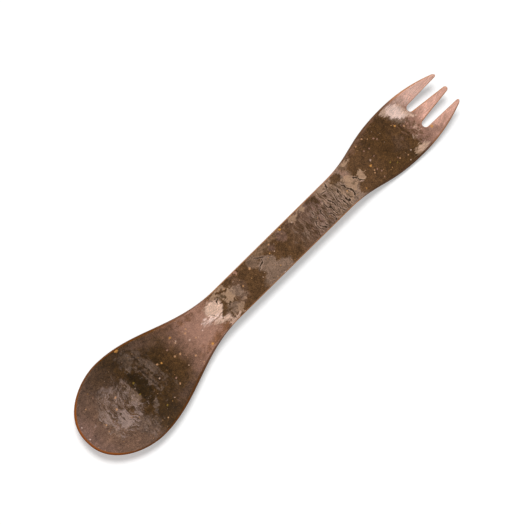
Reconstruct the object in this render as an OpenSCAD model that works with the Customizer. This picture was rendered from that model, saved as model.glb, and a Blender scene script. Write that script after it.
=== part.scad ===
// A double-ended spork in moulded plastic: a deep spoon bowl at one end of a
// flat handle and a three-tined fork at the other, all one wall that changes
// thickness smoothly. It lies on the undersides of the bowl and of the palm.
// X runs along the piece towards the fork, Y across it and Z is up. The origin
// is under the middle of the piece, on the surface that it lies on.

/* [Spoon] */
// Length from the tip of the bowl to its widest place
bowl_tip_len = 20.2; // [17:0.1:26]
// Length from the widest place of the bowl to the start of the handle
bowl_flank_len = 46.2; // [38:0.1:60]
// Greatest width of the bowl
bowl_w = 33.4; // [26:0.1:40]
// Depth of the hollow below the rim
bowl_depth = 6.5; // [4:0.1:8]
// Rise of the rim from the widest place to the tip
bowl_tip_rise = 0.8; // [0:0.1:2]
// Wall in the middle of the bowl
bowl_wall = 1.9; // [1.6:0.05:2.6]
// Wall along the rim of the bowl
bowl_rim_wall = 1.3; // [1.2:0.05:1.8]

/* [Handle] */
// Length of the straight, flat part
handle_len = 51.8; // [36:0.2:80]
// Width of the handle
handle_w = 12.8; // [10:0.1:16]
// Thickness of the handle
handle_t = 2.8; // [2:0.1:3.6]
// Height of the handle's upper face above the surface that the piece lies on
handle_top_h = 9.2; // [8.5:0.1:12]
// Rounding of the long edges
edge_round = 0.45; // [0.2:0.05:0.55]

/* [Fork] */
// Length from the end of the handle to the widest place of the fork
fork_flare_len = 31.1; // [24:0.1:42]
// Length from the widest place of the fork to the ends of the tines
fork_point_len = 20.7; // [17:0.1:26]
// Greatest width of the fork
fork_w = 21.16; // [18:0.02:25]
// Radius of the outer edges beyond the widest place
fork_side_r = 53.2; // [45:0.2:80]
// Length from the end of the handle to the lowest place of the palm
palm_low_len = 25; // [20:0.1:30]
// Wall at the lowest place of the palm
palm_wall = 2.2; // [1.8:0.1:2.8]
// Depth of the hollow across the palm
palm_dish = 2.2; // [1:0.1:3]

/* [Tines] */
// Depth of the two slots between the tines
slot_len = 14.6; // [11:0.1:18]
// Width of a slot at its round root
slot_root_w = 2.6; // [2:0.05:3.2]
// Width of a slot at its mouth
slot_mouth_w = 4.5; // [3.5:0.05:5]
// Width of the middle tine at its root
middle_root_w = 4.8; // [4:0.05:5.6]
// Width of the middle tine at its end
middle_end_w = 1.6; // [1.3:0.05:2.2]
// Radius of the rounded ends
tine_end_r = 0.8; // [0.6:0.05:1.2]
// Height of the upper face at the ends of the tines
tine_end_h = 9.8; // [7:0.1:12]
// Thickness at the ends of the tines
tine_end_t = 1.5; // [1.2:0.05:2]
// Rounding of the edges of the tines
tine_round = 0.35; // [0.15:0.05:0.4]

/* [Hidden] */

// Shares that shape the curves
// Fullness of the bowl's tip along the piece and across it
tip_long_share = 1.78;
tip_cross_share = 2.24;
// How far each end of the flank keeps its direction, over the flank's length
flank_bowl_share = 0.367;
flank_handle_share = 0.4;
flare_fork_share = 0.52;
flare_handle_share = 0.42;
// How much the curve of the tines eases towards their ends
tine_ease_share = 0.4;
// Most of a tine's width that the rounding of one edge takes up
fillet_share = 0.3;

// Places along the piece
all_len = bowl_tip_len + bowl_flank_len + handle_len + fork_flare_len + fork_point_len;
tip_x = -all_len / 2;
bowl_x = tip_x + bowl_tip_len;
handle_x = bowl_x + bowl_flank_len;
neck_x = handle_x + handle_len;
palm_x = neck_x + palm_low_len;
fork_x = neck_x + fork_flare_len;
end_x = all_len / 2;
slot_x = end_x - slot_len;
slot_r = slot_root_w / 2;
slot_arc_x = slot_x + slot_r;
end_arc_x = end_x - tine_end_r;

// Half widths and heights that several forms share
bowl_half = bowl_w / 2;
handle_half = handle_w / 2;
fork_half = fork_w / 2;
bowl_rim_h = bowl_depth + bowl_wall;
slot_root_y = middle_root_w / 2 + slot_r;
// Small step along the piece for reading off a slope
probe = 0.02;

// Numbers of steps: along the spoon's tip and flank, along the palm and the
// tines, across each form, and round each edge
tip_steps = 15;
flank_steps = 20;
palm_steps = 20;
root_steps = 5;
tine_steps = 9;
end_steps = 5;
bowl_across = 20;
tine_across = 6;
round_steps = 3;
solve_steps = 6;

bowl_brown = "#5b4733";
handle_brown = "#6a4f38";
palm_brown = "#54391e";
tine_tan = "#be9179";

// Curves shared by the outlines and the profiles

// Smooth step from 0 to 1 that starts and ends level
function ease(u) = u * u * (3 - 2 * u);
function mix(a, b, u) = a + (b - a) * u;
function unit(v) = v / norm(v);

// A flank runs level at both ends. Over its length, each end keeps its
// direction for its own share, and the curve is solved for the place u.
function flank_u(t, a, b) =
    3 * pow(1 - t, 2) * t * a + 3 * (1 - t) * t * t * (1 - b) + t * t * t;
function flank_rate(t, a, b) =
    3 * pow(1 - t, 2) * a + 6 * (1 - t) * t * (1 - a - b) + 3 * t * t * b;
function flank_t(u, a, b, t, left) =
    left == 0 ? t
    : flank_t(u, a, b, t - (flank_u(t, a, b) - u) / flank_rate(t, a, b), left - 1);
function flank(u, a, b) = ease(flank_t(u, a, b, u, solve_steps));

// Surface of the spoon

function tip_v(x) = (bowl_x - x) / bowl_tip_len;
function flank_v(x) = (x - bowl_x) / bowl_flank_len;
function bowl_half_at(x) =
    x < bowl_x
    ? bowl_half * pow(max(0, 1 - pow(tip_v(x), tip_long_share)), 1 / tip_cross_share)
    : mix(bowl_half, handle_half, flank(flank_v(x), flank_bowl_share, flank_handle_share));
function bowl_rim_at(x) =
    x < bowl_x
    ? bowl_rim_h + bowl_tip_rise * pow(tip_v(x), 2)
    : mix(bowl_rim_h, handle_top_h, ease(flank_v(x)));
function bowl_depth_at(x) =
    x < bowl_x
    ? bowl_depth * (1 - pow(tip_v(x), 2))
    : bowl_depth * (1 - ease(flank_v(x)));
function bowl_cross(x, y) = pow(abs(y) / bowl_half_at(x), tip_cross_share);
function bowl_z(x, y) = bowl_rim_at(x) - bowl_depth_at(x) * (1 - bowl_cross(x, y));
function bowl_fill(x) = x < bowl_x ? 0 : ease(flank_v(x));
function bowl_edge_t(x) = mix(bowl_rim_wall, handle_t, bowl_fill(x));
function bowl_t(x, y) =
    mix(bowl_edge_t(x), mix(bowl_wall, handle_t, bowl_fill(x)), 1 - min(1, bowl_cross(x, y)));

// Surface of the fork: a falling and rising middle line, and a hollow across it

function palm_v(x) = (x - neck_x) / palm_low_len;
function tine_v(x) = (x - palm_x) / (end_x - palm_x);
function fork_line(x) =
    x < palm_x
    ? mix(handle_top_h, palm_wall, ease(palm_v(x)))
    : mix(palm_wall, tine_end_h,
          pow(tine_v(x), 2) * (1 + tine_ease_share * (1 - tine_v(x))));
function fork_dish(x) = palm_dish * (x < palm_x ? ease(palm_v(x)) : 1);
function fork_z(x, y) = fork_line(x) + fork_dish(x) * pow(y / fork_half, 2);
function fork_t(x, y) =
    x < palm_x
    ? mix(handle_t, palm_wall, ease(palm_v(x)))
    : mix(palm_wall, tine_end_t, tine_v(x));
function fork_half_at(x) =
    x < fork_x
    ? mix(handle_half, fork_half,
          flank((x - neck_x) / fork_flare_len, flare_handle_share, flare_fork_share))
    : fork_half - fork_side_r + sqrt(pow(fork_side_r, 2) - pow(x - fork_x, 2));

// Both surfaces by one name, and what their walls need

function top_z(kind, x, y) = kind == "spoon" ? bowl_z(x, y) : fork_z(x, y);
function wall_t(kind, x, y) = kind == "spoon" ? bowl_t(x, y) : fork_t(x, y);
function slope(kind, x, y) = [
    (top_z(kind, x + probe, y) - top_z(kind, x - probe, y)) / (2 * probe),
    (top_z(kind, x, y + probe) - top_z(kind, x, y - probe)) / (2 * probe)
];
function low_z(kind, x, y) =
    top_z(kind, x, y) - wall_t(kind, x, y) * sqrt(1 + pow(norm(slope(kind, x, y)), 2));

// An edge is square to the wall, with both corners rounded, and its outermost
// point lies on the outline at p. The vector n points outwards in plan, and a
// shorter n fades the edge into an upright face. The points run from the upper
// face (first) round the edge to the lower face (last).
function edge_points(kind, p, n, lean, t, r) =
    let (
        c = cos(lean),
        s = sin(lean),
        in_s = r * (abs(s) - 1) - t * max(0, s),
        a = p + in_s * n,
        top = top_z(kind, a[0], a[1]),
        at = function(u, v) concat(a + (u * c - v * s) * n, top + u * s + v * c)
    )
    concat(
        [for (i = [0:round_steps])
            let (w = i * 90 / round_steps) at(r * sin(w), -r * (1 - cos(w)))],
        [for (i = [round_steps:-1:0])
            let (w = i * 90 / round_steps) at(r * sin(w), r * (1 - cos(w)) - t)]
    );

// Shares across a form, from one side (0) to the other (1)
function even_shares(n) = [for (i = [0:n]) i / n];

// One ring of points round the wall between two edges: the upper face from the
// right edge to the left one, the left edge, the lower face back, and the right
// edge. The faces are cut at the given shares of their widths.
function ring(kind, right, left, top_shares, low_shares) =
    let (m = len(right) - 1)
    concat(
        [for (u = top_shares)
            u == 0 ? right[0] : u == 1 ? left[0]
            : let (q = mix(right[0], left[0], u)) [q[0], q[1], top_z(kind, q[0], q[1])]],
        [for (i = [1:m-1]) left[i]],
        [for (j = [len(low_shares)-1:-1:0])
            let (u = low_shares[j])
            u == 0 ? right[m] : u == 1 ? left[m]
            : let (q = mix(right[m], left[m], u)) [q[0], q[1], low_z(kind, q[0], q[1])]],
        [for (i = [m-1:-1:1]) right[i]]
    );

// Point numbers of a ring. At a closed tip all its points fall on one edge.
function open_ids(first, across, m) = [for (i = [0:2*across+2*m-1]) first + i];
function closed_ids(first, across, m) = concat(
    [for (i = [0:across]) first],
    [for (i = [1:m-1]) first + i],
    [for (i = [0:across]) first + m],
    [for (i = [m-1:-1:1]) first + i]
);

function whole(f) = f[0] != f[1] && f[1] != f[2] && f[2] != f[0];
function band(a, b) = [
    for (i = [0:len(a)-1])
        let (j = (i + 1) % len(a))
        for (f = [[a[i], b[i], b[j]], [a[i], b[j], a[j]]]) if (whole(f)) f
];

// A flat end: a ladder between the two faces, and a fan round each edge from
// the next point of the upper face
function cap(ids, across, m) =
    let (
        n = len(ids),
        low = across + m,
        ladder = [for (i = [1:across-2])
            let (a = ids[i], b = ids[i+1], c = ids[low+across-i-1], d = ids[low+across-i])
            for (f = [[a, b, c], [a, c, d]]) f],
        left = [for (i = [across:low]) [ids[across-1], ids[i], ids[i+1]]],
        right = [for (i = [low+across-1:n-1]) [ids[1], ids[i], ids[(i+1)%n]]]
    )
    concat(ladder, left, right);
function turned(faces) = [for (f = faces) [f[2], f[1], f[0]]];

// A wall through a list of rings. The first ring is a flat end. The last one is
// a flat end too, or is closed by a single edge of m + 1 points.
module wall(rings, across, m, closed) {
    n = len(rings[0]);
    last = len(rings) - 1;
    ids = [for (i = [0:last])
        i == last && closed
        ? closed_ids(i * n, across, m)
        : open_ids(i * n, across, m)];
    sides = [for (i = [0:last-1]) for (f = band(ids[i], ids[i+1])) f];
    ends = concat(cap(ids[0], across, m), closed ? [] : turned(cap(ids[last], across, m)));
    polyhedron([for (r = rings) for (p = r) p], concat(sides, ends), convexity = 6);
}

// Spoon

// Outward direction of the bowl's outline on the left side
function bowl_out(x) =
    x < bowl_x
    ? unit([
        -pow(tip_v(x), tip_long_share - 1) * tip_long_share / bowl_tip_len,
        pow(bowl_half_at(x) / bowl_half, tip_cross_share - 1) * tip_cross_share / bowl_half
    ])
    : unit([(bowl_half_at(x - probe) - bowl_half_at(x + probe)) / (2 * probe), 1]);
function bowl_edge(x, side) =
    let (
        n = bowl_out(x),
        p = [x, bowl_half_at(x)],
        q = p - bowl_edge_t(x) * n,
        lean = atan((bowl_rim_at(x) - bowl_z(q[0], q[1])) / bowl_edge_t(x))
    )
    edge_points("spoon", [p[0], side * p[1]], [n[0], side * n[1]], lean, bowl_edge_t(x),
                edge_round);
function bowl_ring(x, across) =
    ring("spoon", bowl_edge(x, -1), bowl_edge(x, 1), even_shares(across), even_shares(across));

// Bowl and neck, up to the start of the handle
module spoon_bowl() {
    flank_rings = [for (i = [0:flank_steps])
        bowl_ring(mix(handle_x, bowl_x, i / flank_steps), bowl_across)];
    tip_rings = [for (i = [1:tip_steps-1])
        bowl_ring(mix(bowl_x, tip_x, sin(90 * i / tip_steps)), bowl_across)];
    color(bowl_brown)
        wall(concat(flank_rings, tip_rings, [bowl_edge(tip_x, 1)]), bowl_across,
             2 * round_steps + 1, true);
}

// Handle

// The straight part is one flat bar with the end of the spoon as its section
module handle() {
    color(handle_brown)
        translate([handle_x, 0, 0]) rotate([90, 0, 90])
            linear_extrude(handle_len)
                polygon([for (p = bowl_ring(handle_x, 1)) [p[1], p[2]]]);
}

// Fork

// An edge of the fork leans with the slope across it but not with the slope
// along it, so the ends of the tines are upright. It is as high as the wall.
function fork_edge(x, y, n, r) =
    let (
        rise = slope("fork", x, y),
        lean = atan(rise[1] * n[1]),
        height = fork_t(x, y) * sqrt(1 + pow(norm(rise), 2))
    )
    edge_points("fork", [x, y], n, lean, height / (cos(lean) + rise * n * sin(lean)), r);
function palm_round(x) = mix(edge_round, tine_round, ease((x - neck_x) / (slot_x - neck_x)));
// Steps across the palm end where the slots do, so that it meets the tines
function palm_shares(half) =
    let (b = slot_root_y / half)
    concat(
        [for (i = [0:tine_across-1]) mix(0, (1 - b) / 2, i / tine_across)],
        [for (i = [0:tine_across-1]) mix((1 - b) / 2, (1 + b) / 2, i / tine_across)],
        [for (i = [0:tine_across]) mix((1 + b) / 2, 1, i / tine_across)]
    );
root_edge = fork_edge(slot_x, fork_half_at(slot_x), [0, 1], tine_round);
palm_top_shares = palm_shares(root_edge[0][1]);
palm_low_shares = palm_shares(root_edge[len(root_edge)-1][1]);
function palm_ring(x) =
    ring("fork",
         fork_edge(x, -fork_half_at(x), [0, -1], palm_round(x)),
         fork_edge(x, fork_half_at(x), [0, 1], palm_round(x)),
         palm_top_shares, palm_low_shares);

// Neck and palm of the fork, up to the roots of the slots
module fork_palm() {
    color(palm_brown)
        wall([for (i = [0:palm_steps]) palm_ring(mix(slot_x, neck_x, i / palm_steps))],
             3 * tine_across, 2 * round_steps + 1, false);
}

// Tines

// Sides of a tine before its end is rounded, from the slot's root onwards
function slot_v(x) = max(0, x - slot_arc_x) / (end_x - slot_arc_x);
function root_open(x) = sqrt(max(0, 1 - pow(max(0, slot_arc_x - x) / slot_r, 2)));
function middle_half_at(x) =
    x < slot_arc_x
    ? slot_root_y - slot_r * root_open(x)
    : mix(middle_root_w, middle_end_w, slot_v(x)) / 2;
function outer_low_at(x) =
    x < slot_arc_x
    ? slot_root_y + slot_r * root_open(x)
    : middle_half_at(x) + mix(slot_root_w, slot_mouth_w, slot_v(x));

// Ring of a tine with sides at low and high, whose edges fade by the shares
// given, and which narrows to the rounded end
function tine_fillet(low, high) = min(tine_round, fillet_share * (high - low));
function end_narrow(x) = sqrt(max(0, 1 - pow(max(0, x - end_arc_x) / tine_end_r, 2)));
function tine_ring(x, low, high, low_share, high_share) =
    let (
        narrow = end_narrow(x),
        mid = (low + high) / 2,
        half = narrow * (high - low) / 2,
        ahead = max(0, x - end_arc_x) / tine_end_r,
        r = tine_fillet(low, high)
    )
    ring("fork",
         fork_edge(x, mid - half, [ahead, -narrow] * low_share, r),
         fork_edge(x, mid + half, [ahead, narrow] * high_share, r),
         even_shares(tine_across), even_shares(tine_across));
function middle_ring(x) =
    tine_ring(x, -middle_half_at(x), middle_half_at(x), root_open(x), root_open(x));
function outer_ring(x) = tine_ring(x, outer_low_at(x), fork_half_at(x), root_open(x), 1);
function tine_end(low, high) =
    fork_edge(end_x, (low + high) / 2, [1, 0], tine_fillet(low, high));

tine_places = concat(
    [for (i = [0:root_steps-1]) mix(slot_x, slot_arc_x, 1 - cos(90 * i / root_steps))],
    [for (i = [0:tine_steps-1]) mix(slot_arc_x, end_arc_x, i / tine_steps)],
    [for (i = [0:end_steps-1]) mix(end_arc_x, end_x, sin(90 * i / end_steps))]
);
outer_end = tine_end(outer_low_at(end_x), fork_half_at(end_x));
middle_end = tine_end(-middle_end_w / 2, middle_end_w / 2);

module outer_tine() {
    color(tine_tan)
        wall(concat([for (x = tine_places) outer_ring(x)], [outer_end]), tine_across,
             2 * round_steps + 1, true);
}
module middle_tine() {
    color(tine_tan)
        wall(concat([for (x = tine_places) middle_ring(x)], [middle_end]), tine_across,
             2 * round_steps + 1, true);
}
module left_tine() {
    outer_tine();
}
module right_tine() {
    mirror([0, 1, 0]) outer_tine();
}

spoon_bowl();
handle();
fork_palm();
left_tine();
middle_tine();
right_tine();
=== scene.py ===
"""A double-ended spork in bark-patterned plastic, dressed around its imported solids.

The piece is one moulding. Each of its six regions is rebuilt here as a finer mesh over the same
curves, so that they meet without a seam, and one shared material carries the pattern across them.
"""
import math

import bpy
import numpy as np
from mathutils import Matrix, Vector


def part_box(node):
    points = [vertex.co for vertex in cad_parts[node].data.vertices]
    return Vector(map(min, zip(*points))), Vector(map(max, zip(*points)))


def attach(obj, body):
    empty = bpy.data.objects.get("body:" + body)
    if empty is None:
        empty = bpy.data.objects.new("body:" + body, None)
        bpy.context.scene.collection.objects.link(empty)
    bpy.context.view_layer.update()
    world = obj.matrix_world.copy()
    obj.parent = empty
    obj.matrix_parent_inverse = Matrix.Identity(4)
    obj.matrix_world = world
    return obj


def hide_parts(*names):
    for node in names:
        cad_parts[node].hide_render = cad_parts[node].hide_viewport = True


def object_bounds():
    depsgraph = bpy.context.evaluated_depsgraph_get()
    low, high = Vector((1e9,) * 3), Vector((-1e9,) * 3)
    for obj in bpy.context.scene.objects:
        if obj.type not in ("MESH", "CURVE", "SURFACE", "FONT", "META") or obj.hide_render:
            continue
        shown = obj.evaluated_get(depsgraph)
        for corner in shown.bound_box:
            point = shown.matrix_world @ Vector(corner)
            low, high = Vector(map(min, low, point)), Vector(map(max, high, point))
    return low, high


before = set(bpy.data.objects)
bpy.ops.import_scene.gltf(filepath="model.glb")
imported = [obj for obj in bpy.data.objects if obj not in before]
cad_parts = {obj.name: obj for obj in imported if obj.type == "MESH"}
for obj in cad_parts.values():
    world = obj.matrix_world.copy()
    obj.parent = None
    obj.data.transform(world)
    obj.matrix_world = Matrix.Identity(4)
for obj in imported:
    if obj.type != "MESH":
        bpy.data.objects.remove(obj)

cad_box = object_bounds()
MM = 0.001


# Sizes, in metres

spoon_low, spoon_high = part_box("spoon_bowl")
handle_low, handle_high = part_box("handle")
_, palm_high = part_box("fork_palm")
_, tine_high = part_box("left_tine")

tip_x = spoon_low.x
handle_x = handle_low.x
neck_x = handle_high.x
slot_x = palm_high.x
end_x = tine_high.x

bowl_half = spoon_high.y
handle_half = handle_high.y
fork_half = palm_high.y
handle_top = handle_high.z
handle_t = handle_high.z - handle_low.z

bowl_x = tip_x + 20.2 * MM
bowl_depth = 6.5 * MM
bowl_wall = 1.9 * MM
bowl_rim_wall = 1.3 * MM
bowl_tip_rise = 0.8 * MM
bowl_rim = bowl_depth + bowl_wall
edge_round = 0.45 * MM

palm_x = neck_x + 25 * MM
fork_x = neck_x + 31.1 * MM
fork_side_r = 53.2 * MM
palm_wall = 2.2 * MM
palm_dish = 2.2 * MM

slot_r = 1.3 * MM
slot_root_w = 2 * slot_r
slot_mouth_w = 4.5 * MM
middle_root_w = 4.8 * MM
middle_end_w = 1.6 * MM
tine_end_r = 0.8 * MM
tine_end_top = 9.8 * MM
tine_end_t = 1.5 * MM
tine_round = 0.35 * MM
slot_arc_x = slot_x + slot_r
end_arc_x = end_x - tine_end_r
slot_root_y = middle_root_w / 2 + slot_r

# Shares that shape the curves, as in the solids
tip_long_share = 1.78
tip_cross_share = 2.24
flank_bowl_share = 0.367
flank_handle_share = 0.4
flare_handle_share = 0.42
flare_fork_share = 0.52
tine_ease_share = 0.4
fillet_share = 0.3

# Spacing of the fine meshes: lengths in metres, turn_step in radians, and counts
step = 0.4 * MM
turn_step = 0.1
probe = 0.02 * MM
round_steps = 6
bowl_across = 72
tine_across = 18
solve_steps = 6


# Curves of the outline and of the walls

def ease(u):
    return u * u * (3 - 2 * u)


def mix(a, b, u):
    return a + (b - a) * u


def flank(u, first, last):
    """Share of the way from one level end of a flank to the other, at the place u along it."""
    t = u
    for _ in range(solve_steps):
        place = 3 * (1 - t) ** 2 * t * first + 3 * (1 - t) * t * t * (1 - last) + t ** 3
        rate = (3 * (1 - t) ** 2 * first + 6 * (1 - t) * t * (1 - first - last)
                + 3 * t * t * last)
        t = t - (place - u) / rate
    return ease(t)


class Spoon:
    """Upper face, wall and half width of the bowl and its neck."""

    @staticmethod
    def tip(x):
        return (bowl_x - x) / (bowl_x - tip_x)

    @staticmethod
    def fill(x):
        return ease(max(0.0, (x - bowl_x) / (handle_x - bowl_x)))

    @classmethod
    def half(cls, x):
        if x < bowl_x:
            return bowl_half * max(0.0, 1 - cls.tip(x) ** tip_long_share) ** (1 / tip_cross_share)
        u = (x - bowl_x) / (handle_x - bowl_x)
        return mix(bowl_half, handle_half, flank(u, flank_bowl_share, flank_handle_share))

    @classmethod
    def rim(cls, x):
        if x < bowl_x:
            return bowl_rim + bowl_tip_rise * cls.tip(x) ** 2
        return mix(bowl_rim, handle_top, cls.fill(x))

    @classmethod
    def cross(cls, x, y):
        return (np.abs(y) / cls.half(x)) ** tip_cross_share

    @classmethod
    def top(cls, x, y):
        level = 1 - cls.tip(x) ** 2 if x < bowl_x else 1 - cls.fill(x)
        return cls.rim(x) - bowl_depth * level * (1 - cls.cross(x, y))

    @classmethod
    def edge_wall(cls, x):
        return mix(bowl_rim_wall, handle_t, cls.fill(x))

    @classmethod
    def wall(cls, x, y):
        middle = mix(bowl_wall, handle_t, cls.fill(x))
        return mix(cls.edge_wall(x), middle, 1 - np.minimum(1, cls.cross(x, y)))


class Fork:
    """Upper face, wall and half width of the palm and the tines."""

    @staticmethod
    def fall(x):
        return ease(min(1.0, (x - neck_x) / (palm_x - neck_x)))

    @staticmethod
    def rise(x):
        return max(0.0, (x - palm_x) / (end_x - palm_x))

    @classmethod
    def half(cls, x):
        if x < fork_x:
            u = max(0.0, (x - neck_x) / (fork_x - neck_x))
            return mix(handle_half, fork_half, flank(u, flare_handle_share, flare_fork_share))
        return fork_half - fork_side_r + math.sqrt(fork_side_r ** 2 - (x - fork_x) ** 2)

    @classmethod
    def top(cls, x, y):
        v = cls.rise(x)
        if x < palm_x:
            line = mix(handle_top, palm_wall, cls.fall(x))
        else:
            line = mix(palm_wall, tine_end_top, v * v * (1 + tine_ease_share * (1 - v)))
        return line + palm_dish * cls.fall(x) * (y / fork_half) ** 2

    @classmethod
    def wall(cls, x, y):
        if x < palm_x:
            return mix(handle_t, palm_wall, cls.fall(x))
        return mix(palm_wall, tine_end_t, cls.rise(x))


def slope(form, x, y):
    """How steeply the upper face rises along the piece and across it."""
    along = (form.top(x + probe, y) - form.top(x - probe, y)) / (2 * probe)
    across = (form.top(x, y + probe) - form.top(x, y - probe)) / (2 * probe)
    return along, across


def under(form, x, y):
    """Height of the lower face. The wall is measured square to the upper one."""
    along, across = slope(form, x, y)
    return form.top(x, y) - form.wall(x, y) * np.sqrt(1 + along ** 2 + across ** 2)


# Rings of points round the wall

def edge_points(form, place, out, lean, wall, radius):
    """Points round an edge that is square to the wall, from the upper face to the lower one."""
    place, out = np.array(place), np.array(out)
    c, s = math.cos(lean), math.sin(lean)
    start = place + (radius * (abs(s) - 1) - wall * max(0.0, s)) * out
    top = form.top(start[0], start[1])
    turns = [i * math.pi / 2 / round_steps for i in range(round_steps + 1)]
    upper = [(radius * math.sin(w), -radius * (1 - math.cos(w))) for w in turns]
    lower = [(radius * math.sin(w), radius * (1 - math.cos(w)) - wall) for w in turns[::-1]]
    return np.array([
        (*(start + (u * c - v * s) * out), top + u * s + v * c) for u, v in upper + lower
    ])


def even_shares(count):
    """Shares from 0 to 1 in even steps."""
    return [i / count for i in range(count + 1)]


def across_points(right, left, shares, height):
    """Points of one face from the right edge to the left one."""
    inner = np.array(shares[1:-1])
    x = mix(right[0], left[0], 0.5)
    y = mix(right[1], left[1], inner)
    middle = np.column_stack([np.full(len(inner), x), y, height(x, y)])
    return np.vstack([right, middle, left])


def ring(form, right, left, top_shares, low_shares):
    """One closed ring: upper face, left edge, lower face back, right edge."""
    upper = across_points(right[0], left[0], top_shares, form.top)
    lower = across_points(right[-1], left[-1], low_shares, lambda x, y: under(form, x, y))
    return np.vstack([upper, left[1:-1], lower[::-1], right[-2:0:-1]])


def side_values(across, edge):
    """0 on the upper face, 1 on the lower face and the steps between on the edges."""
    turn = even_shares(edge)[1:-1]
    return [0.0] * (across + 1) + turn + [1.0] * (across + 1) + turn[::-1]


def faces_between(ids):
    """Quads from ring to ring, and triangles where the points of a tip fall together."""
    faces = []
    for a, b in zip(ids, ids[1:]):
        for j in range(len(a)):
            k = (j + 1) % len(a)
            corners = list(dict.fromkeys([a[j], b[j], b[k], a[k]]))
            if len(corners) > 2:
                faces.append(corners)
    return faces


def end_faces(ids, across, edge):
    """A flat end as a ladder of quads between the faces and one face round each edge."""
    low = across + edge
    ladder = [[ids[i], ids[i + 1], ids[low + across - i - 1], ids[low + across - i]]
              for i in range(across)]
    left = [ids[i] for i in range(across, low + 1)]
    right = [ids[i] for i in range(low + across, len(ids))] + [ids[0]]
    return ladder + [left, right]


def skin(name, points, faces, sides, smooth, ends):
    """A mesh object. Its first faces, as many as smooth, are smooth, and its flat ends sharp."""
    mesh = bpy.data.meshes.new(name)
    # The finer curves stay inside the box of the solids
    mesh.from_pydata([tuple(p) for p in np.clip(points, *cad_box)], [], faces)
    shade = np.zeros(len(faces), bool)
    shade[:smooth] = True
    mesh.polygons.foreach_set("use_smooth", shade)
    rims = [set(ids) for ids in ends]
    sharp = [any(e.vertices[0] in r and e.vertices[1] in r for r in rims) for e in mesh.edges]
    mesh.attributes.new("sharp_edge", "BOOLEAN", "EDGE").data.foreach_set("value", sharp)
    mesh.attributes.new("side", "FLOAT", "POINT").data.foreach_set("value", sides)
    mesh.update()
    piece = bpy.data.objects.new(name, mesh)
    bpy.context.scene.collection.objects.link(piece)
    return piece


def loft(name, rings, across, tip=None):
    """A closed mesh through the rings. The end is flat, or closed by the points of a tip."""
    edge = 2 * round_steps + 1
    count = len(rings[0])
    points = list(np.vstack(rings))
    ids = [[i * count + j for j in range(count)] for i in range(len(rings))]
    sides = side_values(across, edge) * len(rings)
    ends = [ids[0]] if tip is not None else [ids[0], ids[-1]]
    if tip is not None:
        base = len(points)
        points += list(tip)
        sides += even_shares(edge)
        turn = [base + i for i in range(1, edge)]
        ids.append([base] * (across + 1) + turn + [base + edge] * (across + 1) + turn[::-1])
    faces = faces_between(ids)
    smooth = len(faces)
    faces += end_faces(ends[0], across, edge)
    for ids_end in ends[1:]:
        faces += [face[::-1] for face in end_faces(ids_end, across, edge)]
    return skin(name, points, faces, sides, smooth, ends)


def spread(start, end, gap):
    """Even places from start to end, about a gap apart."""
    return list(np.linspace(start, end, max(2, round(abs(end - start) / gap) + 1)))


# The six regions

def spoon_edge(x, side):
    """The rim at x, square to the outline: side is 1 for the left one and -1 for the right one."""
    half = Spoon.half(x)
    if x < bowl_x:
        out = np.array([
            -Spoon.tip(x) ** (tip_long_share - 1) * tip_long_share / (bowl_x - tip_x),
            (half / bowl_half) ** (tip_cross_share - 1) * tip_cross_share / bowl_half])
    else:
        out = np.array([(Spoon.half(x - probe) - Spoon.half(x + probe)) / (2 * probe), 1.0])
    out = out / np.linalg.norm(out)
    wall = Spoon.edge_wall(x)
    inner = np.array([x, half]) - wall * out
    lean = math.atan((Spoon.rim(x) - Spoon.top(inner[0], inner[1])) / wall)
    return edge_points(Spoon, (x, side * half), (out[0], side * out[1]), lean, wall, edge_round)


def spoon_ring(x):
    shares = even_shares(bowl_across)
    return ring(Spoon, spoon_edge(x, -1), spoon_edge(x, 1), shares, shares)


def make_spoon():
    turns = spread(0, math.pi / 2, step / (bowl_x - tip_x))[1:-1]
    places = spread(handle_x, bowl_x, step) + [mix(bowl_x, tip_x, math.sin(w)) for w in turns]
    return loft("spoon_bowl_skin", [spoon_ring(x) for x in places], bowl_across,
                spoon_edge(tip_x, 1))


def make_handle():
    section = spoon_ring(handle_x)
    rings = [section + np.array([x - handle_x, 0, 0])
             for x in spread(neck_x, handle_x, 2 * step)]
    return loft("handle_skin", rings, bowl_across)


def fork_edge(x, y, out, radius):
    """An edge that leans with the slope across the fork, and is as high as the wall there."""
    along, across = slope(Fork, x, y)
    lean = math.atan(across * out[1])
    height = Fork.wall(x, y) * math.sqrt(1 + along ** 2 + across ** 2)
    rise = along * out[0] + across * out[1]
    return edge_points(Fork, (x, y), out, lean,
                       height / (math.cos(lean) + rise * math.sin(lean)), radius)


def palm_shares(half):
    """Shares across the palm that step where the slots will be."""
    inner = slot_root_y / half
    bounds = [0, (1 - inner) / 2, (1 + inner) / 2, 1]
    steps = even_shares(tine_across)[:-1]
    return [mix(a, b, u) for a, b in zip(bounds, bounds[1:]) for u in steps] + [1]


def make_palm():
    root = fork_edge(slot_x, Fork.half(slot_x), (0, 1), tine_round)
    top_shares, low_shares = palm_shares(root[0][1]), palm_shares(root[-1][1])

    def palm_ring(x):
        radius = mix(edge_round, tine_round, ease((x - neck_x) / (slot_x - neck_x)))
        half = Fork.half(x)
        return ring(Fork, fork_edge(x, -half, (0, -1), radius), fork_edge(x, half, (0, 1), radius),
                    top_shares, low_shares)

    return loft("fork_palm_skin", [palm_ring(x) for x in spread(slot_x, neck_x, step)],
                3 * tine_across)


def root_open(x):
    """How far the round root of a slot has opened at x, from 0 to 1."""
    return math.sqrt(max(0.0, 1 - (max(0.0, slot_arc_x - x) / slot_r) ** 2))


def middle_side(x):
    """Where the middle tine's left side is at x."""
    if x < slot_arc_x:
        return slot_root_y - slot_r * root_open(x)
    return mix(middle_root_w, middle_end_w, (x - slot_arc_x) / (end_x - slot_arc_x)) / 2


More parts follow.
